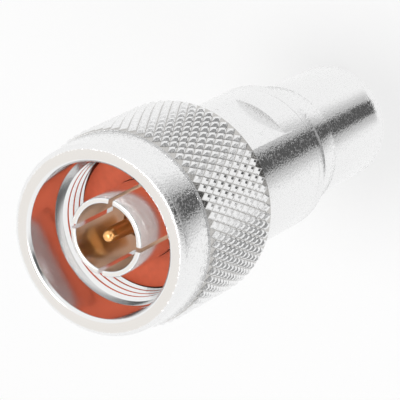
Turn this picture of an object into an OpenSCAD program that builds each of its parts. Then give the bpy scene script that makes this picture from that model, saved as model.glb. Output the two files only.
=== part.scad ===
// Coaxial plug, N type: knurled coupling nut, shell with wrench flats,
// slotted outer contact, centre pin and a crimped cable end.
// Millimetres. It stands on its cable end, +Z towards the mating end.

/* [Coupling nut] */
// Length of the nut
nut_len = 17.1; // [16:0.1:19]
// Diameter of the plain ring where it meets the knurl
nut_ring_d = 20.4; // [20.2:0.1:22]
// How much the ring's radius shrinks towards the front
nut_ring_taper = 0.3; // [0:0.05:0.5]
// Length of the plain ring, its chamfer included
nut_ring_len = 4.2; // [3:0.1:5]
// Chamfer round the nut's front edge
nut_chamfer = 0.38; // [0.2:0.02:0.8]
// Width of the groove between the plain ring and the knurl
nut_groove_w = 0.4; // [0.2:0.05:0.8]
// Depth of that groove under the knurl's roots
nut_groove_depth = 0.3; // [0.1:0.05:0.5]
// Radial clearance of the smooth entry bore over the thread
entry_play = 0.16; // [0.1:0.02:0.4]
// Depth of the smooth entry bore
entry_depth = 4.8; // [3.5:0.1:5.2]
// Chamfer at the nut's mouth and at its rear edge
nut_edge = 0.3; // [0.1:0.05:0.4]

/* [Knurl] */
// Diameter over the knurl's points
knurl_d = 21.1; // [20.9:0.05:22]
// Depth of the knurl's grooves
knurl_depth = 0.3; // [0.2:0.05:0.5]
// Number of diamonds round the nut
knurl_count = 66; // [40:2:80]
// Angle of the knurl's grooves to the nut's axis
knurl_angle = 26; // [20:1:40]
// Share of a diamond that its flat top covers
knurl_flat = 0.35; // [0.2:0.05:0.8]

/* [Coupling thread] */
// Major diameter of the thread
thread_d = 15.875; // [15.6:0.025:16]
// Radial depth of the thread
thread_depth = 0.49; // [0.42:0.01:0.57]
// Pitch of the thread
thread_pitch = 1.0583; // [0.75:0.0001:1.25]
// Length of the thread behind its lead-in
thread_len = 5.7; // [4.6:0.1:6]

/* [Shell] */
// Length of the shell
shell_len = 22.6; // [21:0.1:26]
// How far the shell's radius exceeds the thread's
shell_rise = 0.13; // [0.05:0.01:0.3]
// Depth of the two wrench flats
flat_depth = 0.71; // [0.4:0.01:0.9]
// Length of the round stretch behind the flats
flats_from_rear = 5.9; // [4:0.1:8]
// Direction of the first wrench flat round the axis
flats_angle = -57.5; // [-90:0.5:90]
// Width of the hollow band in front of the rear rim
band_w = 1.45; // [0.8:0.05:2]
// Depth of the hollow band
band_depth = 0.22; // [0.1:0.02:0.4]
// Thickness of the rim behind the hollow band
rim_w = 0.25; // [0.15:0.05:0.5]
// Length of the nose that carries the gasket inside the thread
nose_len = 1.7; // [1.2:0.1:2]
// Chamfer at the shoulder behind the nose
nose_edge = 0.15; // [0.05:0.05:0.3]
// Bore that takes the outer contact and the front bead
front_bore_d = 11; // [10.6:0.1:11.4]
// Bore between the two beads
middle_bore_d = 9.2; // [8.6:0.1:9.6]
// Bore that takes the cable barrel
rear_bore_d = 12.4; // [12:0.1:12.8]

/* [Retaining ring] */
// Thickness of the ring
ring_t = 1; // [0.8:0.05:1.1]
// How deep the ring sits in the shell's groove
ring_grip = 0.67; // [0.5:0.01:0.75]
// How far the ring reaches into the nut's groove
ring_reach = 0.6; // [0.4:0.05:0.65]
// Distance from the shell's front face to the ring
ring_from_face = 3.2; // [3:0.1:4]
// Width of the ring's split
ring_split = 3; // [1.5:0.1:5]

/* [Gasket] */
// Depth of the gasket's face behind the nut's front face
gasket_depth = 8.8; // [8.6:0.1:9.4]
// Thickness of the gasket
gasket_t = 1.6; // [1.2:0.1:1.8]
// Radial clearance of the gasket and the shell's nose inside the thread
nose_play = 0.15; // [0.1:0.01:0.3]
// Play between the gasket's hole and the outer contact
gasket_play = 0.06; // [0.02:0.01:0.15]

/* [Outer contact] */
// Length of the sleeve in front of the shell's face
contact_len = 9; // [8.4:0.1:9.6]
// Outer diameter of the sleeve
contact_od = 8.24; // [8.1:0.02:8.4]
// Inner diameter of the sleeve
contact_bore_d = 7; // [6.9:0.02:7.1]
// Length of the flange inside the shell
contact_flange_len = 3.7; // [2.5:0.1:4]
// Width of the four slots
slot_w = 0.5; // [0.3:0.05:0.8]
// Length of the slots
slot_len = 7; // [5:0.1:7.2]
// Direction of the first slot round the axis
slot_angle = -41.5; // [-45:0.5:45]
// Rounding of the sleeve's rim
contact_round = 0.2; // [0.1:0.02:0.28]

/* [Centre pin] */
// Diameter of the pin's tip
pin_tip_d = 1.6; // [1.5:0.02:1.7]
// Length of the thin tip
pin_tip_len = 5; // [4:0.1:5.5]
// Length of the point of the tip
pin_point_len = 1.3; // [0.8:0.1:1.6]
// Radius of the point's blunt end
pin_blunt_r = 0.2; // [0.1:0.05:0.3]
// Diameter of the pin's body
pin_d = 3.04; // [2.9:0.02:3.2]
// How far the tip lies behind the contact's rim
pin_setback = 0.2; // [0:0.1:1]
// Diameter of the collar behind the front bead
pin_collar_d = 4.2; // [3.8:0.1:5]
// Thickness of that collar
pin_collar_t = 0.7; // [0.5:0.1:1]
// Diameter of the solder cup for the cable's conductor
cup_d = 2.2; // [1.8:0.05:2.4]
// Depth of the solder cup
cup_depth = 5; // [4:0.1:6]
// Diameter of the sight hole into the cup
sight_d = 0.9; // [0.6:0.05:1.2]

/* [Insulating beads] */
// Thickness of the front bead's rim
front_bead_t = 1.6; // [1.2:0.1:2]
// Length of the front bead's hub inside the contact
front_bead_hub = 2.4; // [1.5:0.1:2.8]
// Thickness of the rear bead
rear_bead_t = 3; // [2:0.1:4]

/* [Cable barrel] */
// Length of the neck
neck_len = 4.2; // [3:0.1:5]
// Diameter of the neck
neck_d = 14; // [13.4:0.05:14.4]
// Length of the barrel's nose inside the shell
barrel_nose_len = 7.3; // [6:0.1:8]
// Bore for the cable's dielectric
cable_bore_d = 7.8; // [7.2:0.05:8]
// Outer diameter of the crimp spigot
spigot_d = 9.3; // [9.1:0.05:9.6]
// How far the spigot ends short of the ferrule's edge
spigot_short = 1; // [0.5:0.1:2]
// Chamfer at the spigot's mouth
spigot_lead = 0.3; // [0.2:0.05:0.5]
// Pitch of the spigot's grip rings
grip_pitch = 0.9; // [0.7:0.05:1.2]
// Depth of the spigot's grip rings
grip_depth = 0.2; // [0.1:0.02:0.25]
// Length of the land that carries the ferrule
land_len = 1.4; // [1:0.1:2]

/* [Crimp ferrule] */
// Length of the ferrule
ferrule_len = 12.5; // [11:0.1:14]
// Outer diameter of the ferrule
ferrule_d = 12.94; // [12.6:0.02:13.2]
// Wall of the ferrule
ferrule_wall = 0.72; // [0.5:0.02:0.9]
// Rounding of the ferrule's open edge
ferrule_round = 0.3; // [0.1:0.05:0.4]

/* [Fits] */
// Radial clearance of the nut on the shell
nut_play = 0.09; // [0.05:0.01:0.1]
// Clearance round the retaining ring
ring_play = 0.09; // [0.05:0.01:0.1]
// Radial gap of the pieces that are pressed together
press_gap = 0.02; // [0.01:0.005:0.03]

/* [Hidden] */
$fn = 96;
cut = 1;                                  // how far a cutter runs past a face

// Heights of the faces, from the cable end upwards
z_neck = ferrule_len;                     // ferrule meets the neck
z_shell = z_neck + neck_len;              // shell's rear rim
z_face = z_shell + shell_len;             // shell's front face
z_gasket = z_face + gasket_t;             // gasket's front face
z_front = z_gasket + gasket_depth;        // nut's front face
z_nut = z_front - nut_len;                // nut's rear face
z_knurl = z_front - nut_ring_len - nut_groove_w;
z_ring = z_face - ring_from_face - ring_t;
z_barrel = z_shell + barrel_nose_len;     // front end of the cable barrel
z_bead = z_face - contact_flange_len - front_bead_t;
z_rim = z_face + contact_len;             // outer contact's rim
z_tip = z_rim - pin_setback;              // pin's tip
z_pin = z_tip - pin_tip_len;              // front of the pin's body

// Radii that belong to two pieces
knurl_root_r = knurl_d / 2 - knurl_depth;
knurl_seat = 0.05;                        // how deep the knurl's roots lie on the turned body
core_r = knurl_root_r - knurl_seat;       // turned body under the knurl
thread_r = thread_d / 2;
thread_minor_r = thread_r - thread_depth;
entry_r = thread_r + entry_play;
nose_r = thread_minor_r - nose_play;
shell_r = thread_r + shell_rise;
nut_bore_r = shell_r + nut_play;
ring_inner_r = shell_r - ring_grip;
ring_outer_r = nut_bore_r + ring_reach;
ring_seat_r = ring_inner_r - ring_play;   // floor of the shell's ring groove
ring_room_r = ring_outer_r + ring_play;   // floor of the nut's ring groove
z_lead = z_front - entry_depth;           // start of the thread's lead-in
z_thread = z_lead - (entry_r - thread_minor_r); // first full diameter of the thread
z_relief = z_thread - thread_len;         // end of the thread
flat_h = shell_r - flat_depth;
ferrule_bore_r = ferrule_d / 2 - ferrule_wall;

// Points of an arc about c, from angle a to angle b
function arc(c, r, a, b, n = 6) =
    [for (i = [0 : n]) c + r * [cos(a + (b - a) * i / n), sin(a + (b - a) * i / n)]];

// A solid turned about Z from an outline of [radius, height]
module turned(outline) {
    rotate_extrude() polygon(outline);
}

// A ring with square edges
module washer(inner_r, outer_r, z, height) {
    turned([[inner_r, z], [outer_r, z], [outer_r, z + height], [inner_r, z + height]]);
}

// Outline of the internal thread, one V for each turn, from the front backwards.
// A quarter of the pitch stays flat at the crest and an eighth at the root.
function thread_outline() =
    let (turns = floor(thread_len / thread_pitch), crest = thread_pitch / 4, root = thread_pitch / 8)
    [for (i = [0 : turns - 1], corner = [0 : 3])
        let (top = z_thread - i * thread_pitch, valley = top - (crest + thread_pitch) / 2)
        corner == 0 ? [thread_minor_r, top] :
        corner == 1 ? [thread_minor_r, top - crest] :
        corner == 2 ? [thread_r, valley + root / 2] :
                      [thread_r, valley - root / 2]];

// Triangles of a convex face, from its corners in order
function fan(corners) = [for (i = [1 : len(corners) - 2]) [corners[0], corners[i], corners[i + 1]]];

// Diamond knurl: crossed grooves leave flat-topped diamonds on a closed ring.
// The grooves cross at the valleys, which shift by half a step from level to level.
module knurl_ring(z0, z1) {
    level_h = PI * knurl_d / (2 * knurl_count) / tan(knurl_angle);
    levels = 2 * round((z1 - z0) / level_h / 2);
    around = [0 : knurl_count - 1];
    function level_z(k) = z0 + (z1 - z0) * k / levels;
    // a point at r, half steps round the nut and a height
    function point(r, half_steps, z) =
        let (a = 180 * half_steps / knurl_count) [r * cos(a), r * sin(a), z];
    function wrap(i) = (i + knurl_count) % knurl_count;
    function valley(i, k) = k * knurl_count + wrap(i);
    function top(i, k, side) = (levels + 1 + 4 * (k - 1) + side) * knurl_count + wrap(i);
    function inner(i, end) = (5 * levels - 3 + end) * knurl_count + wrap(i);
    // corners of diamond i on level k: left, up, right, down
    function corner(i, k, side) =
        side == 0 ? valley(i - 1 + k % 2, k) :
        side == 1 ? valley(i, k + 1) :
        side == 2 ? valley(i + k % 2, k) :
                    valley(i, k - 1);
    reach = [[-1, 0], [0, 1], [1, 0], [0, -1]] * knurl_flat;
    points = concat(
        [for (k = [0 : levels], i = around) point(knurl_root_r, 2 * i + 1 - k % 2, level_z(k))],
        [for (k = [1 : levels - 1], side = reach, i = around)
            point(knurl_d / 2, 2 * i + k % 2 + side[0], level_z(k + side[1]))],
        [for (z = [z0, z1], i = around) point(core_r - 2 * knurl_seat, 2 * i + 1, z)]);
    tops = [for (k = [1 : levels - 1], i = around)
        each fan([for (side = [0 : 3]) top(i, k, side)])];
    walls = [for (k = [1 : levels - 1], i = around, side = [0 : 3])
        let (next = (side + 1) % 4)
        each fan([corner(i, k, side), corner(i, k, next), top(i, k, next), top(i, k, side)])];
    rear = [for (i = around)
        each concat(fan([valley(i - 1, 0), valley(i, 1), valley(i, 0)]),
                    fan([valley(i - 1, 0), valley(i, 0), inner(i, 0), inner(i - 1, 0)]))];
    front = [for (i = around)
        each concat(fan([valley(i - 1, levels), valley(i, levels), valley(i, levels - 1)]),
                    fan([inner(i - 1, 1), inner(i, 1), valley(i, levels), valley(i - 1, levels)]))];
    bore = [for (i = around)
        each fan([inner(i - 1, 0), inner(i, 0), inner(i, 1), inner(i - 1, 1)])];
    polyhedron(points, concat(tops, walls, rear, front, bore), convexity = 6);
}

module coupling_nut() {
    ring_r = nut_ring_d / 2;
    groove_r = core_r - nut_groove_depth;
    z_ring_rear = z_front - nut_ring_len;
    outside = [
        [nut_bore_r + nut_edge, z_nut],
        [core_r - nut_edge, z_nut],
        [core_r, z_nut + nut_edge],
        [core_r, z_knurl],
        [groove_r, z_knurl],
        [groove_r, z_ring_rear],
        [ring_r, z_ring_rear],
        [ring_r - nut_ring_taper, z_front - nut_chamfer],
        [ring_r - nut_ring_taper - nut_chamfer, z_front],
        [entry_r + nut_edge, z_front],
        [entry_r, z_front - nut_edge],
        [entry_r, z_lead]];
    inside = [
        [thread_minor_r, z_relief],
        [nut_bore_r, z_relief - (nut_bore_r - thread_minor_r)],
        [nut_bore_r, z_ring + ring_t + ring_play],
        [ring_room_r, z_ring + ring_t + ring_play],
        [ring_room_r, z_ring - ring_play],
        [nut_bore_r, z_ring - ring_play],
        [nut_bore_r, z_nut + nut_edge]];
    color("gainsboro") {
        turned(concat(outside, thread_outline(), inside));
        knurl_ring(z_nut + nut_edge, z_knurl);
    }
}

// Split spring ring that holds the nut on the shell
module retaining_ring() {
    color("lightgray") difference() {
        washer(ring_inner_r, ring_outer_r, z_ring, ring_t);
        translate([0, -ring_split / 2, z_ring - cut])
            cube([2 * ring_outer_r, ring_split, ring_t + 2 * cut]);
    }
}

module face_gasket() {
    color([0.78, 0.36, 0.24])
        washer(contact_od / 2 + gasket_play, nose_r, z_face, gasket_t);
}

// Turned shell with two wrench flats and a hollow band in front of its rim
module shell() {
    band_r = (band_w * band_w / 4 + band_depth * band_depth) / (2 * band_depth);
    z_flat = z_shell + flats_from_rear;
    flats_len = z_nut - nut_play - z_flat;    // the flats end just short of the nut
    color("gainsboro") difference() {
        turned([
            [rear_bore_d / 2, z_shell],
            [shell_r, z_shell],
            [shell_r, z_face - nose_len - nose_edge],
            [shell_r - nose_edge, z_face - nose_len],
            [nose_r, z_face - nose_len],
            [nose_r, z_face],
            [front_bore_d / 2, z_face],
            [front_bore_d / 2, z_bead],
            [middle_bore_d / 2, z_bead],
            [middle_bore_d / 2, z_barrel],
            [rear_bore_d / 2, z_barrel]]);
        rotate_extrude()
            translate([shell_r - band_depth + band_r, z_shell + rim_w + band_w / 2])
                circle(band_r);
        washer(ring_seat_r, shell_r + cut, z_ring - ring_play, ring_t + 2 * ring_play);
        for (side = [0, 180])
            rotate(flats_angle + side)
                translate([flat_h, -shell_r, z_flat]) cube([shell_r, 2 * shell_r, flats_len]);
    }
}

// Spring sleeve with four slots and a flange that is pressed into the shell
module outer_contact() {
    flange_r = front_bore_d / 2 - press_gap;
    wall = (contact_od - contact_bore_d) / 2;
    outline = concat(
        [[contact_bore_d / 2, z_face - contact_flange_len],
         [flange_r, z_face - contact_flange_len],
         [flange_r, z_face],
         [contact_od / 2, z_face]],
        arc([contact_od / 2 - contact_round, z_rim - contact_round], contact_round, 0, 90),
        arc([contact_bore_d / 2 + contact_round, z_rim - contact_round], contact_round, 90, 180));
    color("gainsboro") difference() {
        turned(outline);
        for (turn = [0, 90, 180, 270])
            rotate(slot_angle + turn)
                translate([contact_bore_d / 2 - wall, -slot_w / 2, z_rim - slot_len])
                    cube([3 * wall, slot_w, slot_len + cut]);
    }
}

// Gold pin: thin pointed tip, body, collar and a solder cup with a sight hole
module centre_pin() {
    tip_r = pin_tip_d / 2;
    body_r = pin_d / 2;
    steps = 6;
    point = [for (i = [0 : steps])
        let (a = 90 * i / steps)
        [pin_blunt_r + (tip_r - pin_blunt_r) * cos(a), z_tip - pin_point_len * (1 - sin(a))]];
    color("goldenrod") difference() {
        turned(concat(
            [[0, z_barrel],
             [body_r, z_barrel],
             [body_r, z_bead - pin_collar_t],
             [pin_collar_d / 2, z_bead - pin_collar_t],
             [pin_collar_d / 2, z_bead],
             [body_r, z_bead],
             [body_r, z_pin - (body_r - tip_r)],
             [tip_r, z_pin]],
            point,
            [[0, z_tip]]));
        translate([0, 0, z_barrel - cut]) cylinder(d = cup_d, h = cup_depth + cut);
        translate([0, 0, z_barrel + cup_depth - sight_d])
            rotate([90, 0, 0]) cylinder(d = sight_d, h = pin_d);
    }
}

// Bead clamped between the shell's shoulder and the outer contact
module front_bead() {
    color("white") turned([
        [pin_d / 2 + press_gap, z_bead],
        [front_bore_d / 2 - press_gap, z_bead],
        [front_bore_d / 2 - press_gap, z_bead + front_bead_t],
        [contact_bore_d / 2 - press_gap, z_bead + front_bead_t],
        [contact_bore_d / 2 - press_gap, z_bead + front_bead_t + front_bead_hub],
        [pin_d / 2 + press_gap, z_bead + front_bead_t + front_bead_hub]]);
}

// Bead that centres the pin's solder cup, seated on the cable barrel
module rear_bead() {
    color("white")
        washer(pin_d / 2 + press_gap, middle_bore_d / 2 - press_gap, z_barrel, rear_bead_t);
}

// Neck, nose pressed into the shell and ringed spigot for the cable's braid
module cable_barrel() {
    spigot_r = spigot_d / 2;
    land_r = ferrule_bore_r - press_gap;
    z_land = z_neck - land_len;
    z_grip = spigot_short + spigot_lead;      // first grip ring
    grip_crest = grip_pitch / 10;             // flat between two rings
    rings = floor((z_land - z_grip) / grip_pitch);
    grips = [for (i = [0 : rings - 1], corner = [0 : 2])
        let (z = z_grip + i * grip_pitch)
        corner == 0 ? [spigot_r, z] :
        corner == 1 ? [spigot_r - grip_depth, z + (grip_pitch - grip_crest) / 2] :
                      [spigot_r, z + grip_pitch - grip_crest]];
    color("gainsboro") turned(concat(
        [[cable_bore_d / 2, spigot_short],
         [spigot_r - spigot_lead, spigot_short]],
        grips,
        [[spigot_r, z_land],
         [land_r, z_land],
         [land_r, z_neck],
         [neck_d / 2, z_neck],
         [neck_d / 2, z_shell],
         [rear_bore_d / 2 - press_gap, z_shell],
         [rear_bore_d / 2 - press_gap, z_barrel],
         [cable_bore_d / 2, z_barrel]]));
}

// Plain tube that is crimped over the cable's braid
module crimp_ferrule() {
    outer_r = ferrule_d / 2;
    color("gainsboro") turned(concat(
        [[ferrule_bore_r, ferrule_round]],
        arc([ferrule_bore_r + ferrule_round / 2, ferrule_round / 2], ferrule_round / 2, 180, 270, 3),
        arc([outer_r - ferrule_round, ferrule_round], ferrule_round, -90, 0),
        [[outer_r, z_neck],
         [ferrule_bore_r, z_neck]]));
}

coupling_nut();
retaining_ring();
face_gasket();
shell();
outer_contact();
centre_pin();
front_bead();
rear_bead();
cable_barrel();
crimp_ferrule();
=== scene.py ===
import math

import bpy
from bpy.props import FloatProperty, FloatVectorProperty, IntProperty, PointerProperty
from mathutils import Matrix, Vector


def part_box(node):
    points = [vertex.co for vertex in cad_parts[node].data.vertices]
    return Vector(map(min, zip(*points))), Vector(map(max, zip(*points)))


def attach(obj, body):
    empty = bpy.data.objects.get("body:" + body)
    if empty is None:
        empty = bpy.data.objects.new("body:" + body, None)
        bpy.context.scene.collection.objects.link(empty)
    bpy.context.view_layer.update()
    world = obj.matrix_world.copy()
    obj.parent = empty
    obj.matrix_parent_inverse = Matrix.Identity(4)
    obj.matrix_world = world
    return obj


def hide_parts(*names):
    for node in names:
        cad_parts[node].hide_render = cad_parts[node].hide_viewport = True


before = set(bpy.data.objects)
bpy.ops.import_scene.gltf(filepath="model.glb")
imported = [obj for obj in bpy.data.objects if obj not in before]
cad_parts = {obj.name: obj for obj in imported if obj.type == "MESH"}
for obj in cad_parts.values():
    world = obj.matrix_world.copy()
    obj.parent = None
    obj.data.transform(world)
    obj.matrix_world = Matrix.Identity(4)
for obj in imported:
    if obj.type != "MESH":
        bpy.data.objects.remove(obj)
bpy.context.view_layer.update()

bl_info = {
    "name": "Coaxial Plug",
    "version": (1, 0, 0),
    "blender": (4, 5, 0),
    "location": "View3D > Sidebar > Plug",
    "description": "Models a straight coaxial plug with a knurled coupling nut",
    "category": "Add Mesh",
}

MM = 0.001
ROUND = 256       # sides of a turned surface
TINY = 2e-7       # points closer than this are one point
NEAR_AXIS = 0.05 * MM           # an open outline ends this far from the axis, to be scaled still
SHADED_EDGE = math.radians(28)  # edges sharper than this are shaded as edges
BROKEN_EDGE = math.radians(38)  # edges sharper than this are broken


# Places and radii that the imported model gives

def foot(node):
    """Height of a node's lowest face."""
    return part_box(node)[0].z


def head(node):
    """Height of a node's highest face."""
    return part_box(node)[1].z


def radius(node):
    """Outer radius of a round node."""
    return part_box(node)[1].x


Z_FRONT = head("coupling_nut")
Z_NUT = foot("coupling_nut")
Z_GASKET = head("face_gasket")
Z_FACE = head("shell")
Z_SHELL = foot("shell")
Z_NECK = head("crimp_ferrule")
Z_BARREL = head("cable_barrel")
Z_RIM = head("outer_contact")
Z_FLANGE = foot("outer_contact")
Z_BEAD = foot("front_bead")
Z_TIP = head("centre_pin")
Z_SPIGOT = foot("cable_barrel")


def length(text, value_mm, note):
    """A size in millimetres that the panel shows."""
    return FloatProperty(name=text, default=value_mm * MM, unit="LENGTH", precision=5,
                         description=note)


def paint(text, value, note):
    """A colour that is written as an sRGB hex value."""
    return FloatVectorProperty(name=text, subtype="COLOR", default=linear(value), min=0, max=1,
                               description=note)


def linear(value):
    """Linear red, green and blue of an sRGB hex value."""
    parts = [int(value[i:i + 2], 16) / 255 for i in (0, 2, 4)]
    return tuple(c / 12.92 if c <= 0.04045 else ((c + 0.055) / 1.055) ** 2.4 for c in parts)


class PlugSizes(bpy.types.PropertyGroup):
    ring_r: length("Ring radius", 10.2, "Radius of the nut's plain front ring at the knurl")
    ring_taper: length("Ring taper", 0.3, "How much that radius shrinks towards the front")
    ring_len: length("Ring length", 4.2, "Length of the plain ring")
    ring_chamfer: length("Front chamfer", 0.38, "Chamfer round the nut's front edge")
    groove_w: length("Groove width", 0.4, "Groove between the ring and the knurl")
    groove_depth: length("Groove depth", 0.3, "Depth of that groove under the knurl's roots")
    knurl_depth: length("Knurl depth", 0.3, "Depth of the knurl's grooves")
    knurl_count: IntProperty(name="Knurl count", default=66, min=40, max=80,
                             description="Diamonds round the nut")
    knurl_angle: FloatProperty(name="Knurl angle", default=math.radians(26), subtype="ANGLE",
                               description="Angle of the grooves to the axis")
    knurl_wall: length("Groove wall", 0.29, "Width of a groove's wall beside a diamond's flat top")
    entry_r: length("Entry radius", 8.0975, "Radius of the smooth entry bore")
    entry_depth: length("Entry depth", 4.8, "Depth of the smooth entry bore")
    nut_edge: length("Nut edge", 0.3, "Chamfer at the mouth and the rear edge")
    nut_bore_r: length("Nut bore", 8.1575, "Radius of the nut's running bore")
    thread_r: length("Thread radius", 7.9375, "Major radius of the thread")
    thread_minor_r: length("Thread bore", 7.4475, "Minor radius of the thread")
    pitch: length("Thread pitch", 1.0583, "Pitch of the thread")
    thread_len: length("Thread length", 5.7, "Length of the thread")
    flat_h: length("Flat height", 7.3575, "Distance of a wrench flat from the axis")
    flat_back: length("Flat end", 5.9, "Round stretch behind the wrench flats")
    flat_angle: FloatProperty(name="Flat angle", default=math.radians(-57.5), subtype="ANGLE",
                              description="Direction of the first wrench flat")
    band_w: length("Band width", 1.45, "Width of the hollow band")
    band_depth: length("Band depth", 0.22, "Depth of the hollow band")
    rim_w: length("Rim", 0.25, "Thickness of the rim behind the band")
    nose_r: length("Nose radius", 7.2975, "Radius of the shell's nose and of the gasket")
    nose_len: length("Nose length", 1.7, "Length of the shell's nose")
    front_bore_r: length("Front bore", 5.5, "Bore that takes the outer contact")
    middle_bore_r: length("Middle bore", 4.6, "Bore between the beads")
    rear_bore_r: length("Rear bore", 6.2, "Bore that takes the cable barrel")
    ring_seat_r: length("Ring seat", 7.3075, "Floor of the shell's ring groove")
    contact_r: length("Contact radius", 4.12, "Outer radius of the slotted sleeve")
    contact_bore_r: length("Contact bore", 3.5, "Inner radius of the slotted sleeve")
    contact_round: length("Rim rounding", 0.2, "Rounding of the sleeve's rim")
    slot_w: length("Slot width", 0.5, "Width of the four slots")
    slot_len: length("Slot length", 7.0, "Length of the slots")
    slot_angle: FloatProperty(name="Slot angle", default=math.radians(-41.5), subtype="ANGLE",
                              description="Direction of the first slot")
    tip_r: length("Tip radius", 0.8, "Radius of the pin's tip")
    tip_len: length("Tip length", 5.0, "Length of the pin's thin tip")
    point_len: length("Point length", 1.3, "Length of the tip's point")
    pin_r: length("Pin radius", 1.52, "Radius of the pin's body")
    collar_r: length("Collar radius", 2.1, "Radius of the pin's collar")
    collar_t: length("Collar", 0.7, "Thickness of the pin's collar")
    cup_r: length("Cup radius", 1.1, "Radius of the solder cup")
    cup_depth: length("Cup depth", 5.0, "Depth of the solder cup")
    neck_r: length("Neck radius", 7.0, "Radius of the neck")
    cable_r: length("Cable bore", 3.9, "Bore for the cable's dielectric")
    spigot_r: length("Spigot radius", 4.65, "Radius of the crimp spigot")
    grip_pitch: length("Grip pitch", 0.9, "Pitch of the spigot's rings")
    grip_depth: length("Grip depth", 0.2, "Depth of the spigot's rings")
    land_len: length("Land", 1.4, "Land that carries the ferrule")
    ferrule_r: length("Ferrule radius", 6.47, "Outer radius of the ferrule")
    ferrule_wall: length("Ferrule wall", 0.72, "Wall of the ferrule")
    play: length("Play", 0.09, "Clearance of the nut on the shell and the ring")
    press_gap: length("Press gap", 0.02, "Gap between pressed pieces")
    edge_break: length("Edge break", 0.06, "Width of a broken turned edge")


class PlugColours(bpy.types.PropertyGroup):
    silver: paint("Silver", "F0F0F0", "Silver plating")
    # painted shade: the darker silver that the bottoms of the knurl's grooves are given
    groove_shade: paint("Tarnish", "C6C4C1", "Silver in the knurl's grooves")
    gold: paint("Gold", "F0B878", "Gold plating")
    gasket: paint("Gasket", "D2603F", "Silicone rubber")
    # painted reflection: the beads' cream tint stands in for the gold pin's warm reflection, which the
    # bore's walls mirror
    bead: paint("Bead", "EAC4A8", "Insulating beads")
    floor: paint("Floor", "F2F2F2", "Floor")
    wall: paint("Wall", "F7F3EE", "Cream wall that the nut's face mirrors")


# Small helpers for modelling

def sizes():
    """The plug's sizes, as the scene holds them."""
    return bpy.context.scene.plug_sizes


def colours():
    """The plug's colours, in linear values."""
    return bpy.context.scene.plug_colours


def deselect():
    """Clears the selection, because an operator acts on all that is selected."""
    bpy.ops.object.select_all(action="DESELECT")


def arc(centre, r, start, end, steps=6):
    """Points of an arc from one angle to another, in degrees."""
    angles = [math.radians(start + (end - start) * i / steps) for i in range(steps + 1)]
    return [(centre[0] + r * math.cos(a), centre[1] + r * math.sin(a)) for a in angles]


def turned(name, outline, closed=True, sides=ROUND):
    """A solid turned about Z, from an outline of (radius, height).

    A circle is extruded and scaled along it. A closed outline gives a ring, and an open one is capped.
    """
    deselect()
    bpy.ops.mesh.primitive_circle_add(vertices=sides, radius=outline[0][0])
    piece = bpy.context.object
    piece.name = name
    bpy.ops.object.mode_set(mode="EDIT")
    bpy.ops.mesh.select_all(action="SELECT")
    bpy.ops.transform.translate(value=(0, 0, outline[0][1]))
    if not closed:
        bpy.ops.mesh.edge_face_add()
    for (r, z), (next_r, next_z) in zip(outline, outline[1:] + outline[:1] * closed):
        bpy.ops.mesh.extrude_edges_move(TRANSFORM_OT_translate={"value": (0, 0, next_z - z)})
        bpy.ops.transform.resize(value=(next_r / r, next_r / r, 1), center_override=(0, 0, next_z))
    if not closed:
        bpy.ops.mesh.edge_face_add()
    bpy.ops.mesh.select_all(action="SELECT")
    bpy.ops.mesh.remove_doubles(threshold=TINY)
    bpy.ops.mesh.normals_make_consistent(inside=False)
    bpy.ops.object.mode_set(mode="OBJECT")
    piece.data.name = name
    return piece


def modify(piece, kind, **settings):
    """Adds a modifier and applies it."""
    deselect()
    piece.select_set(True)
    bpy.context.view_layer.objects.active = piece
    bpy.ops.object.modifier_add(type=kind)
    modifier = piece.modifiers[-1]
    for key, value in settings.items():
        setattr(modifier, key, value)
    bpy.ops.object.modifier_apply(modifier=modifier.name)


def carve(piece, cutter, operation="DIFFERENCE"):
    """Cuts with a closed mesh, or joins it on, and removes it."""
    modify(piece, "BOOLEAN", object=cutter, operation=operation, solver="EXACT")
    bpy.data.objects.remove(cutter)


def break_edges(piece, width):
    """Breaks the sharp edges, as a deburring tool does."""
    modify(piece, "BEVEL", width=width, segments=2, limit_method="ANGLE", angle_limit=BROKEN_EDGE,
           miter_outer="MITER_ARC", harden_normals=False)


def finish(piece, body, node, material):
    """Shades a piece, gives it its material, ties it to its body and hides the node that it replaces."""
    deselect()
    piece.select_set(True)
    bpy.context.view_layer.objects.active = piece
    bpy.ops.object.shade_smooth_by_angle(angle=SHADED_EDGE)
    piece.data.materials.clear()
    piece.data.materials.append(material)
    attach(piece, body)
    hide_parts(node)


def block(low, high, turn):
    """A box between two corners, turned about Z, for cutting."""
    deselect()
    middle = [(a + b) / 2 for a, b in zip(low, high)]
    bpy.ops.mesh.primitive_cube_add(size=1)
    cutter = bpy.context.object
    cutter.scale = [b - a for a, b in zip(low, high)]
    cutter.location = middle
    bpy.ops.object.transform_apply(location=True, rotation=False, scale=True)
    cutter.rotation_euler.z = turn
    bpy.ops.object.transform_apply(location=False, rotation=True, scale=False)
    return cutter


# Materials

def new_material(name):
    """An empty node material and its shader."""
    material = bpy.data.materials.new(name)
    material.use_nodes = True
    material.node_tree.nodes.clear()
    shader = add(material, "ShaderNodeBsdfPrincipled")
    output = add(material, "ShaderNodeOutputMaterial")
    material.node_tree.links.new(shader.outputs[0], output.inputs["Surface"])
    return material, shader


def add(owner, kind, links=None, values=None, **settings):
    """Adds a node with its settings, socket values and incoming links."""
    tree = owner.node_tree
    node = tree.nodes.new(kind)
    for key, value in settings.items():
        setattr(node, key, value)
    for key, value in (values or {}).items():
        node.inputs[key].default_value = value
    for key, source in (links or {}).items():
        tree.links.new(source, node.inputs[key])
    return node


def rgba(colour):
    """A colour with full alpha."""
    return (*colour, 1.0)


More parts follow.
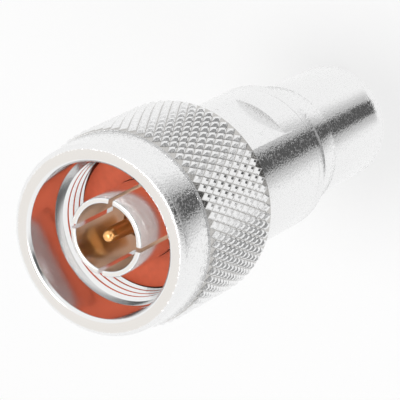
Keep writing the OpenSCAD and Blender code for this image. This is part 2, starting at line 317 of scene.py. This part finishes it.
def tool_marks(material, place):
    """Relief of a turned surface: tool lines round the axis, and the thin streaks of handling."""
    # the lines are a feed of 0.12 mm apart
    lines_place = add(material, "ShaderNodeMapping", {"Vector": place}, {"Scale": (0.01, 0.01, 1.0)})
    lines = add(material, "ShaderNodeTexNoise", {"Vector": lines_place.outputs[0]},
                {"Scale": 1 / (0.12 * MM), "Detail": 2.0})
    # a streak is where a stretched noise of 1.1 mm passes its peak
    streak_place = add(material, "ShaderNodeMapping", {"Vector": place},
                       {"Rotation": (0.5, 0.9, 0.3), "Scale": (1.0, 0.12, 1.0)})
    streak = add(material, "ShaderNodeTexNoise", {"Vector": streak_place.outputs[0]},
                 {"Scale": 1 / (1.1 * MM), "Detail": 1.0})
    mark = add(material, "ShaderNodeMapRange", {"Value": streak.outputs[0]},
               {"From Min": 0.70, "From Max": 0.73, "To Min": 0.0, "To Max": -0.5})
    relief = add(material, "ShaderNodeMath", {0: lines.outputs[0], 2: mark.outputs[0]}, {1: 0.15},
                 operation="MULTIPLY_ADD")
    return relief.outputs[0]


def knurl_groove_shade(material, place, from_axis, outside):
    """Amount of painted shade, a darker colour, at the bottoms of the knurl's grooves."""
    top_r = radius("coupling_nut")
    depth = add(material, "ShaderNodeMapRange", {"Value": from_axis},
                {"From Min": top_r - sizes().knurl_depth, "From Max": top_r - 0.75 * sizes().knurl_depth,
                 "To Min": 1.0, "To Max": 0.0})
    along = add(material, "ShaderNodeSeparateXYZ", {"Vector": place})
    behind_ring = add(material, "ShaderNodeMath", {0: along.outputs["Z"]},
                      {1: Z_FRONT - sizes().ring_len - sizes().groove_w}, operation="LESS_THAN")
    knurl_only = add(material, "ShaderNodeMath", {0: outside, 1: behind_ring.outputs[0]},
                     operation="MULTIPLY")
    groove_shade_amount = add(material, "ShaderNodeMath", {0: depth.outputs[0], 1: knurl_only.outputs[0]},
               operation="MULTIPLY")
    return groove_shade_amount.outputs[0]


def plating(name, colour, roughness, grain, smooth_r=0.0, knurled=False):
    """Plating on turned metal: a mirror that its grain and the tool marks break up outside smooth_r."""
    material, shader = new_material(name)
    tree = material.node_tree
    place = add(material, "ShaderNodeTexCoord").outputs["Object"]
    flat = add(material, "ShaderNodeVectorMath", {0: place}, {1: (1.0, 1.0, 0.0)},
               operation="MULTIPLY")
    distance = add(material, "ShaderNodeVectorMath", {0: flat.outputs[0]}, operation="LENGTH")
    from_axis = distance.outputs["Value"]
    outside = add(material, "ShaderNodeMath", {0: from_axis}, {1: smooth_r},
                  operation="GREATER_THAN").outputs[0]
    # real grain is finer: it is drawn at 0.22 mm, so that it shows
    fine = add(material, "ShaderNodeTexNoise", {"Vector": place},
               {"Scale": 1 / (0.22 * MM), "Detail": 2.0})
    height = add(material, "ShaderNodeMath", {0: fine.outputs[0], 1: tool_marks(material, place)},
                 operation="ADD")
    amount = add(material, "ShaderNodeMath", {0: outside}, {1: grain, 2: 0.03},
                 operation="MULTIPLY_ADD")
    bump = add(material, "ShaderNodeBump", {"Height": height.outputs[0], "Strength": amount.outputs[0]},
               {"Distance": 0.05 * MM})
    tree.links.new(bump.outputs[0], shader.inputs["Normal"])
    if grain:
        # a smooth bore is a little duller than the outside, where the grain's peaks are matt spots
        rough = add(material, "ShaderNodeMapRange", {"Value": outside},
                    {"To Min": 1.2 * roughness, "To Max": roughness})
        spots = add(material, "ShaderNodeMapRange", {"Value": fine.outputs[0]},
                    {"From Min": 0.5, "From Max": 0.6, "To Max": 0.5 * grain})
        spotted = add(material, "ShaderNodeMath", {0: spots.outputs[0], 1: outside, 2: rough.outputs[0]},
                      operation="MULTIPLY_ADD")
        tree.links.new(spotted.outputs[0], shader.inputs["Roughness"])
    else:
        shader.inputs["Roughness"].default_value = roughness
    shader.inputs["Metallic"].default_value = 1.0
    shader.inputs["Base Color"].default_value = rgba(colour)
    if knurled:
        # painted shade: the bottoms of the knurl's grooves take the darker silver
        groove_shade_amount = knurl_groove_shade(material, place, from_axis, outside)
        mix = add(material, "ShaderNodeMix", {"Factor": groove_shade_amount}, data_type="RGBA")
        mix.inputs[6].default_value = rgba(colour)
        mix.inputs[7].default_value = rgba(colours().groove_shade)
        tree.links.new(mix.outputs[2], shader.inputs["Base Color"])
    return material


def silver_plating():
    """Satin silver plating: near white, mirrors what is near it with a grain of its own."""
    return plating("silver_plating", colours().silver, 0.1, 0.5)


def knurled_silver():
    """The same plating on the knurled nut, smooth inside its bore, with painted shade in the bottoms of
    the knurl's grooves.
    """
    smooth_r = 9.4 * MM    # the bores and most of the front face lie inside this radius
    return plating("knurled_silver", colours().silver, 0.1, 0.5, smooth_r=smooth_r, knurled=True)


def bright_silver():
    """Bright silver plating of the contact."""
    return plating("bright_silver", colours().silver, 0.2, 0.0)


def gold_plating():
    """Polished gold plating: warm mirror."""
    return plating("gold_plating", colours().gold, 0.3, 0.0)


def spring_bronze():
    """Plain rolled spring bronze under silver."""
    return plating("spring_bronze", colours().silver, 0.3, 0.2)


def silicone_rubber():
    """Moulded silicone rubber: matt, slightly powdery, with a faint mottle."""
    material, shader = new_material("silicone_rubber")
    tree = material.node_tree
    place = add(material, "ShaderNodeTexCoord").outputs["Object"]
    mottle = add(material, "ShaderNodeTexNoise", {"Vector": place},
                 {"Scale": 1 / (0.8 * MM), "Detail": 4.0})
    powder = add(material, "ShaderNodeTexNoise", {"Vector": place},
                 {"Scale": 1 / (0.1 * MM), "Detail": 2.0})
    tone = add(material, "ShaderNodeMapRange", {"Value": mottle.outputs[0]},
               {"From Min": 0.3, "From Max": 0.7, "To Min": 0.92, "To Max": 1.05})
    shade = add(material, "ShaderNodeHueSaturation", {"Value": tone.outputs[0]},
                {"Color": rgba(colours().gasket)})
    bump = add(material, "ShaderNodeBump", {"Height": powder.outputs[0]},
               {"Strength": 0.15, "Distance": 0.02 * MM})
    tree.links.new(shade.outputs[0], shader.inputs["Base Color"])
    tree.links.new(bump.outputs[0], shader.inputs["Normal"])
    shader.inputs["Roughness"].default_value = 0.6
    shader.inputs["IOR"].default_value = 1.43
    return material


def fluoropolymer():
    """Turned fluoropolymer: waxy, tinted cream here, with faint tool lines round the axis. The cream
    tint is painted reflection: it stands in for the gold pin's warm reflection in the bore.
    """
    material, shader = new_material("fluoropolymer")
    place = add(material, "ShaderNodeTexCoord").outputs["Object"]
    ring_place = add(material, "ShaderNodeMapping", {"Vector": place}, {"Scale": (0.02, 0.02, 1.0)})
    lines = add(material, "ShaderNodeTexNoise", {"Vector": ring_place.outputs[0]},
                {"Scale": 1 / (0.15 * MM), "Detail": 2.0})
    bump = add(material, "ShaderNodeBump", {"Height": lines.outputs[0]},
               {"Strength": 0.2, "Distance": 0.02 * MM})
    material.node_tree.links.new(bump.outputs[0], shader.inputs["Normal"])
    shader.inputs["Base Color"].default_value = rgba(colours().bead)
    shader.inputs["Roughness"].default_value = 0.45
    shader.inputs["IOR"].default_value = 1.35
    return material


# Pieces

def knurl_band(z0, z1, inner_r):
    """A closed ring of flat-topped diamonds.

    A grid is poked, its own edges are dissolved, and each face is inset to a diamond's flat top.
    """
    s = sizes()
    root_r = radius("coupling_nut") - s.knurl_depth
    diamond_h = 2 * math.pi * root_r / s.knurl_count / math.tan(s.knurl_angle)
    rows = round((z1 - z0) / diamond_h)
    deselect()
    bpy.ops.mesh.primitive_circle_add(vertices=s.knurl_count, radius=root_r, location=(0, 0, z0))
    bpy.ops.object.transform_apply(location=True, rotation=False, scale=False)
    band = bpy.context.object
    bpy.ops.object.mode_set(mode="EDIT")
    bpy.ops.mesh.select_all(action="SELECT")
    for _ in range(rows):
        bpy.ops.mesh.extrude_edges_move(TRANSFORM_OT_translate={"value": (0, 0, (z1 - z0) / rows)})
    bpy.ops.mesh.select_all(action="SELECT")
    bpy.ops.mesh.normals_make_consistent(inside=False)
    bpy.ops.mesh.mark_seam()
    bpy.ops.mesh.poke(offset=root_r * (1 - math.cos(math.pi / s.knurl_count)))
    bpy.ops.mesh.select_all(action="DESELECT")
    bpy.ops.object.mode_set(mode="OBJECT")
    for edge in band.data.edges:
        edge.select = edge.use_seam
    bpy.ops.object.mode_set(mode="EDIT")
    bpy.ops.mesh.dissolve_edges(use_verts=False)
    bpy.ops.mesh.select_mode(type="FACE")
    bpy.ops.mesh.select_all(action="DESELECT")
    bpy.ops.mesh.select_face_by_sides(number=4)
    bpy.ops.mesh.inset(thickness=s.knurl_wall, depth=s.knurl_depth, use_individual=True)
    bpy.ops.mesh.select_mode(type="EDGE")
    bpy.ops.mesh.select_all(action="DESELECT")
    bpy.ops.mesh.select_non_manifold()
    bpy.ops.mesh.extrude_edges_move()
    bpy.ops.transform.resize(value=(inner_r / root_r, inner_r / root_r, 1), center_override=(0, 0, 0))
    bpy.ops.mesh.bridge_edge_loops()
    bpy.ops.mesh.select_all(action="SELECT")
    bpy.ops.mesh.normals_make_consistent(inside=False)
    bpy.ops.mesh.mark_seam(clear=True)
    bpy.ops.mesh.select_mode(type="VERT")
    bpy.ops.object.mode_set(mode="OBJECT")
    return band


def thread_cutter(z0, z1):
    """A V-shaped helix that is cut out of the nut's bore."""
    s = sizes()
    root = s.pitch / 8      # flat at the thread's root
    crest = s.pitch / 4     # flat between two grooves, on the bore
    flank = (s.pitch - crest - root) / 2
    depth = s.thread_r - s.thread_minor_r
    deselect()
    bpy.ops.mesh.primitive_circle_add(vertices=4, radius=s.pitch / 2, fill_type="NGON",
                                      rotation=(math.pi / 2, 0, 0))
    cutter = bpy.context.object
    bpy.ops.object.transform_apply(location=False, rotation=True, scale=True)
    # the flanks are carried on past the bore by a quarter of their depth
    over = 0.25
    mouth = root / 2 + (1 + over) * flank
    mouth_r = s.thread_minor_r - over * depth
    corners = [(mouth_r, -mouth), (s.thread_r, -root / 2), (s.thread_r, root / 2), (mouth_r, mouth)]
    for vert, (x, z) in zip(cutter.data.vertices, corners):
        vert.co = (x, 0, z0 + z)
    turns = math.ceil((z1 - z0) / s.pitch)
    steps = 96 * turns
    modify(cutter, "SCREW", angle=2 * math.pi * turns, screw_offset=s.pitch * turns, steps=steps,
           render_steps=steps, use_merge_vertices=False, use_smooth_shade=False)
    bpy.ops.object.mode_set(mode="EDIT")
    bpy.ops.mesh.select_all(action="DESELECT")
    bpy.ops.mesh.select_non_manifold()
    bpy.ops.mesh.edge_face_add()
    bpy.ops.mesh.select_all(action="SELECT")
    bpy.ops.mesh.normals_make_consistent(inside=False)
    bpy.ops.object.mode_set(mode="OBJECT")
    return cutter


class PLUG_OT_coupling_nut(bpy.types.Operator):
    """Model the knurled coupling nut with its plain ring and its cut thread"""
    bl_idname = "plug.coupling_nut"
    bl_label = "Coupling nut"

    def execute(self, context):
        s = sizes()
        under = 0.05 * MM      # the turned body ends this far under the knurl's roots
        overlap = 0.1 * MM     # and the knurl's ring reaches this far into it
        core_r = radius("coupling_nut") - s.knurl_depth - under
        z_ring = Z_FRONT - s.ring_len
        z_lead = Z_FRONT - s.entry_depth
        z_thread = z_lead - (s.entry_r - s.thread_minor_r)
        z_relief = z_thread - s.thread_len
        room_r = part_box("retaining_ring")[1].y + s.play
        room = (foot("retaining_ring") - s.play, head("retaining_ring") + s.play)
        nut = turned("nut", [
            (s.nut_bore_r + s.nut_edge, Z_NUT),
            (core_r - s.nut_edge, Z_NUT),
            (core_r, Z_NUT + s.nut_edge),
            (core_r, z_ring - s.groove_w),
            (core_r - s.groove_depth, z_ring - s.groove_w),
            (core_r - s.groove_depth, z_ring),
            (s.ring_r, z_ring),
            (s.ring_r - s.ring_taper, Z_FRONT - s.ring_chamfer),
            (s.ring_r - s.ring_taper - s.ring_chamfer, Z_FRONT),
            (s.entry_r + s.nut_edge, Z_FRONT),
            (s.entry_r, Z_FRONT - s.nut_edge),
            (s.entry_r, z_lead),
            (s.thread_minor_r, z_thread),
            (s.thread_minor_r, z_relief),
            (s.nut_bore_r, z_relief - (s.nut_bore_r - s.thread_minor_r)),
            (s.nut_bore_r, room[1]),
            (room_r, room[1]),
            (room_r, room[0]),
            (s.nut_bore_r, room[0]),
            (s.nut_bore_r, Z_NUT + s.nut_edge)])
        break_edges(nut, s.edge_break)
        carve(nut, thread_cutter(z_relief - s.pitch, z_lead))
        knurl = knurl_band(Z_NUT + s.nut_edge, z_ring - s.groove_w, core_r - overlap)
        carve(nut, knurl, "UNION")
        finish(nut, "nut", "coupling_nut", knurled_silver())
        return {"FINISHED"}


class PLUG_OT_face_gasket(bpy.types.Operator):
    """Model the silicone gasket at the bottom of the nut"""
    bl_idname = "plug.face_gasket"
    bl_label = "Face gasket"

    def execute(self, context):
        s = sizes()
        play = 0.06 * MM
        inner = s.contact_r + play
        soft = 0.15 * MM       # rounding of the moulded outer edge
        gasket = turned("gasket", [
            (inner, Z_FACE),
            (s.nose_r, Z_FACE),
            *arc((s.nose_r - soft, Z_GASKET - soft), soft, 0, 90),
            (inner, Z_GASKET)])
        finish(gasket, "body", "face_gasket", silicone_rubber())
        return {"FINISHED"}


class PLUG_OT_shell(bpy.types.Operator):
    """Model the turned shell with its wrench flats and hollow band"""
    bl_idname = "plug.shell"
    bl_label = "Shell"

    def execute(self, context):
        s = sizes()
        r = radius("shell")
        middle = Z_SHELL + s.rim_w + s.band_w / 2
        hollow_r = (s.band_w ** 2 / 4 + s.band_depth ** 2) / (2 * s.band_depth)
        reach = math.degrees(math.asin(s.band_w / 2 / hollow_r))
        hollow = arc((r - s.band_depth + hollow_r, middle), hollow_r, 180 + reach, 180 - reach, 10)
        groove = (foot("retaining_ring") - s.play, head("retaining_ring") + s.play)
        shell = turned("shell_body", [
            (s.rear_bore_r, Z_SHELL),
            (r, Z_SHELL),
            *hollow,
            (r, groove[0]),
            (s.ring_seat_r, groove[0]),
            (s.ring_seat_r, groove[1]),
            (r, groove[1]),
            (r, Z_FACE - s.nose_len),
            (s.nose_r, Z_FACE - s.nose_len),
            (s.nose_r, Z_FACE),
            (s.front_bore_r, Z_FACE),
            (s.front_bore_r, Z_BEAD),
            (s.middle_bore_r, Z_BEAD),
            (s.middle_bore_r, Z_BARREL),
            (s.rear_bore_r, Z_BARREL)])
        for side in (0, math.pi):
            cutter = block((s.flat_h, -r, Z_SHELL + s.flat_back), (2 * r, r, Z_NUT - s.play),
                           s.flat_angle + side)
            carve(shell, cutter)
        break_edges(shell, s.edge_break)
        finish(shell, "body", "shell", silver_plating())
        return {"FINISHED"}


class PLUG_OT_outer_contact(bpy.types.Operator):
    """Model the slotted sleeve"""
    bl_idname = "plug.outer_contact"
    bl_label = "Outer contact"

    def execute(self, context):
        s = sizes()
        flange_r = s.front_bore_r - s.press_gap
        soft = s.contact_round
        contact = turned("sleeve", [
            (s.contact_bore_r, Z_FLANGE),
            (flange_r, Z_FLANGE),
            (flange_r, Z_FACE),
            (s.contact_r, Z_FACE),
            *arc((s.contact_r - soft, Z_RIM - soft), soft, 0, 90),
            *arc((s.contact_bore_r + soft, Z_RIM - soft), soft, 90, 180)])
        over = 1 * MM          # how far a cutter passes the wall
        for turn in range(4):
            cutter = block((s.contact_bore_r - over, -s.slot_w / 2, Z_RIM - s.slot_len),
                           (s.contact_r + over, s.slot_w / 2, Z_RIM + over),
                           s.slot_angle + turn * math.pi / 2)
            carve(contact, cutter)
        finish(contact, "body", "outer_contact", bright_silver())
        return {"FINISHED"}


class PLUG_OT_centre_pin(bpy.types.Operator):
    """Model the gold pin with its point and solder cup"""
    bl_idname = "plug.centre_pin"
    bl_label = "Centre pin"

    def execute(self, context):
        s = sizes()
        blunt = 0.2 * MM       # radius of the point's flat end
        z_cup = foot("centre_pin") + s.cup_depth
        z_body = Z_TIP - s.tip_len
        quarter = [math.radians(7.5 * i) for i in range(13)]
        point = [(blunt + (s.tip_r - blunt) * math.cos(a), Z_TIP - s.point_len * (1 - math.sin(a)))
                 for a in quarter]
        pin = turned("pin", [
            (NEAR_AXIS, z_cup),
            (s.cup_r, z_cup),
            (s.cup_r, foot("centre_pin")),
            (s.pin_r, foot("centre_pin")),
            (s.pin_r, Z_BEAD - s.collar_t),
            (s.collar_r, Z_BEAD - s.collar_t),
            (s.collar_r, Z_BEAD),
            (s.pin_r, Z_BEAD),
            (s.pin_r, z_body - (s.pin_r - s.tip_r)),
            (s.tip_r, z_body),
            *point,
            (NEAR_AXIS, Z_TIP)], closed=False)
        break_edges(pin, s.edge_break)
        finish(pin, "body", "centre_pin", gold_plating())
        return {"FINISHED"}


class PLUG_OT_beads(bpy.types.Operator):
    """Model the insulating beads that hold the pin"""
    bl_idname = "plug.beads"
    bl_label = "Insulating beads"

    def execute(self, context):
        s = sizes()
        inner = s.pin_r + s.press_gap
        rim_r = s.front_bore_r - s.press_gap
        hub_r = s.contact_bore_r - s.press_gap
        insulator = fluoropolymer()
        front = turned("bead_front", [
            (inner, Z_BEAD), (rim_r, Z_BEAD), (rim_r, Z_FLANGE), (hub_r, Z_FLANGE),
            (hub_r, head("front_bead")), (inner, head("front_bead"))])
        break_edges(front, s.edge_break)
        finish(front, "body", "front_bead", insulator)
        rim_r = s.middle_bore_r - s.press_gap
        rear = turned("bead_rear", [
            (inner, foot("rear_bead")), (rim_r, foot("rear_bead")),
            (rim_r, head("rear_bead")), (inner, head("rear_bead"))])
        break_edges(rear, s.edge_break)
        finish(rear, "body", "rear_bead", insulator)
        return {"FINISHED"}


class PLUG_OT_cable_barrel(bpy.types.Operator):
    """Model the neck with its pressed nose and ringed spigot"""
    bl_idname = "plug.cable_barrel"
    bl_label = "Cable barrel"

    def execute(self, context):
        s = sizes()
        lead = 0.3 * MM        # chamfer at the spigot's end
        z_land = Z_NECK - s.land_len
        rings = math.floor((z_land - Z_SPIGOT - lead) / s.grip_pitch)
        # each ring narrows to its middle, and widens again up to nine tenths of its pitch
        grips = []
        for i in range(rings):
            z = Z_SPIGOT + lead + i * s.grip_pitch
            grips += [(s.spigot_r, z), (s.spigot_r - s.grip_depth, z + s.grip_pitch / 2),
                      (s.spigot_r, z + s.grip_pitch * 0.9)]
        land_r = s.ferrule_r - s.ferrule_wall - s.press_gap
        nose_r = s.rear_bore_r - s.press_gap
        barrel = turned("barrel", [
            (s.cable_r, Z_SPIGOT),
            (s.spigot_r - lead, Z_SPIGOT),
            *grips,
            (s.spigot_r, z_land),
            (land_r, z_land),
            (land_r, Z_NECK),
            (s.neck_r, Z_NECK),
            (s.neck_r, Z_SHELL),
            (nose_r, Z_SHELL),
            (nose_r, Z_BARREL),
            (s.cable_r, Z_BARREL)])
        break_edges(barrel, s.edge_break)
        finish(barrel, "body", "cable_barrel", silver_plating())
        return {"FINISHED"}


class PLUG_OT_crimp_ferrule(bpy.types.Operator):
    """Model the plain tube at the cable end"""
    bl_idname = "plug.crimp_ferrule"
    bl_label = "Crimp ferrule"

    def execute(self, context):
        s = sizes()
        soft = 0.3 * MM        # rounding of the cable end
        inner = s.ferrule_r - s.ferrule_wall
        ferrule = turned("ferrule", [
            (inner, soft / 2),
            *arc((inner + soft / 2, soft / 2), soft / 2, 180, 270),
            *arc((s.ferrule_r - soft, soft), soft, -90, 0),
            (s.ferrule_r, Z_NECK),
            (inner, Z_NECK)])
        break_edges(ferrule, s.edge_break)
        finish(ferrule, "body", "crimp_ferrule", silver_plating())
        return {"FINISHED"}


class PLUG_OT_retaining_ring(bpy.types.Operator):
    """Finish the split spring ring inside the nut"""
    bl_idname = "plug.retaining_ring"
    bl_label = "Retaining ring"

    def execute(self, context):
        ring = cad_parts["retaining_ring"]
        ring.data.materials.clear()
        ring.data.materials.append(spring_bronze())
        return {"FINISHED"}


# Stage: headings turn from X towards Y, elevations rise from the floor

SLIT_MIDDLE = math.radians(-99)     # heading of the dark slit that the metal mirrors
SLIT_CORE = math.radians(13)        # its darkest part reaches this far from its middle
CORE_END = math.radians(17)
SKIRT_END = math.radians(48)
CARD_SPREAD = math.radians(52)      # the card reaches this far from the slit's middle
CARD_GAP = 0.5 * MM                 # from the plug's side to the card
CARD_LEN = 64 * MM
CARD_Z = 0.3 * MM                   # its height over the floor
PLUG_TAPER = 0.09                   # how the plug widens towards the nut, along the card
BOARD_MIDDLE = math.radians(-107)   # heading of the low grey board
BOARD_WIDTH = math.radians(80)
BOARD_R = 75 * MM                   # its distance from the axis
BOARD_HEIGHT = 34 * MM
OPEN_FROM = math.radians(38)        # the slit fades out between these elevations
OPEN_TO = math.radians(52)
CREAM_WALL = (0.0, 0.567, 0.824)    # direction in which the nut's face mirrors a cream wall
CAMERA_PLACE = (0, -178.4 * MM, 289.8 * MM)
CAMERA_TURN = (-17.555, 30.224, -121.830)   # degrees
CAMERA_LENS = 272.3


def floor_material():
    """White paper: lit and shaded for the camera, and plain white in the metal."""
    material, shader = new_material("white_paper")
    tree = material.node_tree
    rays = add(material, "ShaderNodeLightPath")
    shader.inputs["Base Color"].default_value = rgba(colours().floor)
    shader.inputs["Roughness"].default_value = 0.9
    shader.inputs["Specular IOR Level"].default_value = 0.1
    white = add(material, "ShaderNodeEmission", values={"Color": (1, 1, 1, 1), "Strength": 1.0})
    # the camera's share of plain white is 0.65, which leaves a soft shadow, and the metal's is all
    whiteness = add(material, "ShaderNodeMath",
                    {0: rays.outputs["Is Camera Ray"], 2: rays.outputs["Is Glossy Ray"]},
                    {1: 0.65}, operation="MULTIPLY_ADD")
    mix = add(material, "ShaderNodeMixShader",
              {0: whiteness.outputs[0], 1: shader.outputs[0], 2: white.outputs[0]})
    output = next(n for n in tree.nodes if n.bl_idname == "ShaderNodeOutputMaterial")
    tree.links.new(mix.outputs[0], output.inputs["Surface"])
    return material


def slit(owner, angle):
    """Grey level of the dark slit by the angle from its middle: a core with a wide soft skirt."""
    core = add(owner, "ShaderNodeMapRange", {"Value": angle},
               {"From Min": SLIT_CORE, "From Max": CORE_END, "To Min": 0.1, "To Max": 1.0})
    skirt = add(owner, "ShaderNodeMapRange", {"Value": angle},
                {"From Min": SLIT_CORE, "From Max": SKIRT_END, "To Min": 0.55, "To Max": 1.0},
                interpolation_type="SMOOTHERSTEP")
    level = add(owner, "ShaderNodeMath", {0: core.outputs[0], 1: skirt.outputs[0]},
                operation="MINIMUM")
    return level.outputs[0]


def glowing(name):
    """A black material whose glow alone gives its grey level."""
    material, shader = new_material(name)
    shader.inputs["Base Color"].default_value = (0, 0, 0, 1)
    shader.inputs["Roughness"].default_value = 1.0
    shader.inputs["Specular IOR Level"].default_value = 0.0
    shader.inputs["Emission Color"].default_value = (1, 1, 1, 1)
    return material, shader.inputs["Emission Strength"]


def card_material():
    """Card that carries the slit down to the plug's foot, across its whole width."""
    material, glow = glowing("grey_card")
    across = add(material, "ShaderNodeSeparateXYZ",
                 {"Vector": add(material, "ShaderNodeUVMap").outputs[0]})
    angle = add(material, "ShaderNodeMapRange", {"Value": across.outputs["X"]},
                {"To Min": -CARD_SPREAD, "To Max": CARD_SPREAD})
    from_middle = add(material, "ShaderNodeMath", {0: angle.outputs[0]}, operation="ABSOLUTE")
    material.node_tree.links.new(slit(material, from_middle.outputs[0]), glow)
    return material


def board_material():
    """Grey board with soft ends and a soft top edge."""
    material, glow = glowing("grey_board")
    across = add(material, "ShaderNodeSeparateXYZ",
                 {"Vector": add(material, "ShaderNodeUVMap").outputs[0]})
    left = add(material, "ShaderNodeMapRange", {"Value": across.outputs["X"]},
               {"From Max": 0.2, "To Min": 1.0, "To Max": 0.0})
    right = add(material, "ShaderNodeMapRange", {"Value": across.outputs["X"]},
                {"From Min": 0.8, "From Max": 1.0})
    top = add(material, "ShaderNodeMapRange", {"Value": across.outputs["Y"]},
              {"From Min": 0.7, "From Max": 1.0})
    ends = add(material, "ShaderNodeMath", {0: left.outputs[0], 1: right.outputs[0]},
               operation="MAXIMUM")
    edges = add(material, "ShaderNodeMath", {0: ends.outputs[0], 1: top.outputs[0]},
                operation="MAXIMUM")
    level = add(material, "ShaderNodeMapRange", {"Value": edges.outputs[0]},
                {"To Min": 0.35, "To Max": 1.0})
    material.node_tree.links.new(level.outputs[0], glow)
    return material


def mirrored_only(name, columns, rows, place, material):
    """A grid that shows only in the metal; place gives the spot of each point of the unit square."""
    bpy.ops.mesh.primitive_grid_add(x_subdivisions=columns, y_subdivisions=rows, size=1.0)
    board = bpy.context.object
    board.name = name
    for vert in board.data.vertices:
        vert.co = place(vert.co.x, vert.co.y + 0.5)
    board.data.materials.append(material)
    board.visible_camera = False
    board.visible_diffuse = False
    board.visible_shadow = False


def on_card(across, along):
    """Spot on the floor that the plug's side mirrors, higher up its side for a larger along."""
    heading = SLIT_MIDDLE + 2 * CARD_SPREAD * across
    reach = CARD_GAP + CARD_LEN * along
    start = radius("crimp_ferrule") + PLUG_TAPER * reach
    # the side's normal lies halfway between this heading and the camera's
    normal = (heading - math.pi / 2) / 2
    return (start * math.cos(normal) + reach * math.cos(heading),
            start * math.sin(normal) + reach * math.sin(heading), CARD_Z)


def on_board(across, along):
    """Spot on the low board, which stands round a part of the plug."""
    heading = BOARD_MIDDLE + BOARD_WIDTH * across
    return (BOARD_R * math.cos(heading), BOARD_R * math.sin(heading), BOARD_HEIGHT * along)


def soft_world():
    """A white world: even light, and in the metal the slit, an open top and a cream wall."""
    world = bpy.data.worlds.new("soft_light")
    world.use_nodes = True
    world.node_tree.nodes.clear()
    rays = add(world, "ShaderNodeLightPath")
    sky = add(world, "ShaderNodeTexCoord").outputs["Generated"]
    level = add(world, "ShaderNodeVectorMath", {0: sky}, {1: (1.0, 1.0, 0.0)}, operation="MULTIPLY")
    heading = add(world, "ShaderNodeVectorMath", {0: level.outputs[0]}, operation="NORMALIZE")
    facing = add(world, "ShaderNodeVectorMath", {0: heading.outputs[0]},
                 {1: (math.cos(SLIT_MIDDLE), math.sin(SLIT_MIDDLE), 0.0)}, operation="DOT_PRODUCT")
    angle = add(world, "ShaderNodeMath", {0: facing.outputs["Value"]}, operation="ARCCOSINE")
    up = add(world, "ShaderNodeSeparateXYZ", {"Vector": sky})
    open_top = add(world, "ShaderNodeMapRange", {"Value": up.outputs["Z"]},
                   {"From Min": math.sin(OPEN_FROM), "From Max": math.sin(OPEN_TO)})
    mirrored = add(world, "ShaderNodeMix",
                   {"Factor": open_top.outputs[0], "A": slit(world, angle.outputs[0])},
                   {"B": 1.0}, data_type="FLOAT")
    toward_wall = add(world, "ShaderNodeVectorMath", {0: sky}, {1: CREAM_WALL},
                      operation="DOT_PRODUCT")
    near_wall = add(world, "ShaderNodeMapRange", {"Value": toward_wall.outputs["Value"]},
                    {"From Min": 0.92, "From Max": 0.98})
    colour = add(world, "ShaderNodeMix", {"Factor": near_wall.outputs[0]}, data_type="RGBA")
    colour.inputs[6].default_value = (1, 1, 1, 1)
    colour.inputs[7].default_value = rgba(colours().wall)
    # white behind the object, and 0.55 as light on it
    plain = add(world, "ShaderNodeMapRange", {"Value": rays.outputs["Is Camera Ray"]},
                {"To Min": 0.55, "To Max": 1.0})
    strength = add(world, "ShaderNodeMix",
                   {"Factor": rays.outputs["Is Glossy Ray"], "A": plain.outputs[0],
                    "B": mirrored.outputs[0]},
                   data_type="FLOAT")
    light = add(world, "ShaderNodeBackground",
                {"Color": colour.outputs[2], "Strength": strength.outputs["Result"]})
    add(world, "ShaderNodeOutputWorld", {"Surface": light.outputs[0]})
    return world


def lamp(name, place, aim, size, power):
    """A soft box."""
    bpy.ops.object.light_add(type="AREA", location=place)
    light = bpy.context.object
    light.name = name
    light.data.shape = "DISK"
    light.data.size = size
    light.data.energy = power
    direction = Vector([a - p for a, p in zip(aim, place)])
    light.rotation_euler = direction.to_track_quat("-Z", "Y").to_euler()
    return light


class PLUG_OT_stage(bpy.types.Operator):
    """Set the floor, the soft light and the camera"""
    bl_idname = "plug.stage"
    bl_label = "Stage"

    def execute(self, context):
        scene = context.scene
        scene.view_settings.view_transform = "Standard"
        deselect()
        bpy.ops.mesh.primitive_plane_add(size=4.0)
        floor = context.object
        floor.name = "floor"
        floor.data.materials.append(floor_material())
        mirrored_only("card", 48, 24, on_card, card_material())
        # the rear half of the hollow band and the knurl's walls mirror the board
        mirrored_only("screen", 48, 1, on_board, board_material())
        scene.world = soft_world()

        middle = (0, 0, 40 * MM)
        lamp("overhead", (0.02, 0.05, 0.55), middle, size=0.2, power=1.3)
        key = lamp("key", (-0.25, -0.15, 0.45), middle, size=0.3, power=0.4)
        key.visible_glossy = False

        bpy.ops.object.camera_add(location=CAMERA_PLACE)
        camera = context.object
        camera.rotation_euler = [math.radians(a) for a in CAMERA_TURN]
        camera.data.lens = CAMERA_LENS
        camera.data.clip_start = 0.01
        scene.camera = camera
        return {"FINISHED"}


STEPS = (PLUG_OT_stage, PLUG_OT_coupling_nut, PLUG_OT_retaining_ring, PLUG_OT_face_gasket,
         PLUG_OT_shell, PLUG_OT_outer_contact, PLUG_OT_centre_pin, PLUG_OT_beads,
         PLUG_OT_cable_barrel, PLUG_OT_crimp_ferrule)


class PLUG_PT_panel(bpy.types.Panel):
    """Lists the plug's pieces"""
    bl_label = "Coaxial Plug"
    bl_space_type = "VIEW_3D"
    bl_region_type = "UI"
    bl_category = "Plug"

    def draw(self, context):
        for step in STEPS:
            self.layout.operator(step.bl_idname)


CLASSES = (PlugSizes, PlugColours, *STEPS, PLUG_PT_panel)


def register():
    for item in CLASSES:
        bpy.utils.register_class(item)
    bpy.types.Scene.plug_sizes = PointerProperty(type=PlugSizes)
    bpy.types.Scene.plug_colours = PointerProperty(type=PlugColours)


def unregister():
    del bpy.types.Scene.plug_colours
    del bpy.types.Scene.plug_sizes
    for item in reversed(CLASSES):
        bpy.utils.unregister_class(item)


def main():
    """Models the plug and its stage."""
    register()
    for step in STEPS:
        group, action = step.bl_idname.split(".")
        getattr(getattr(bpy.ops, group), action)()


if __name__ == "__main__":
    main()
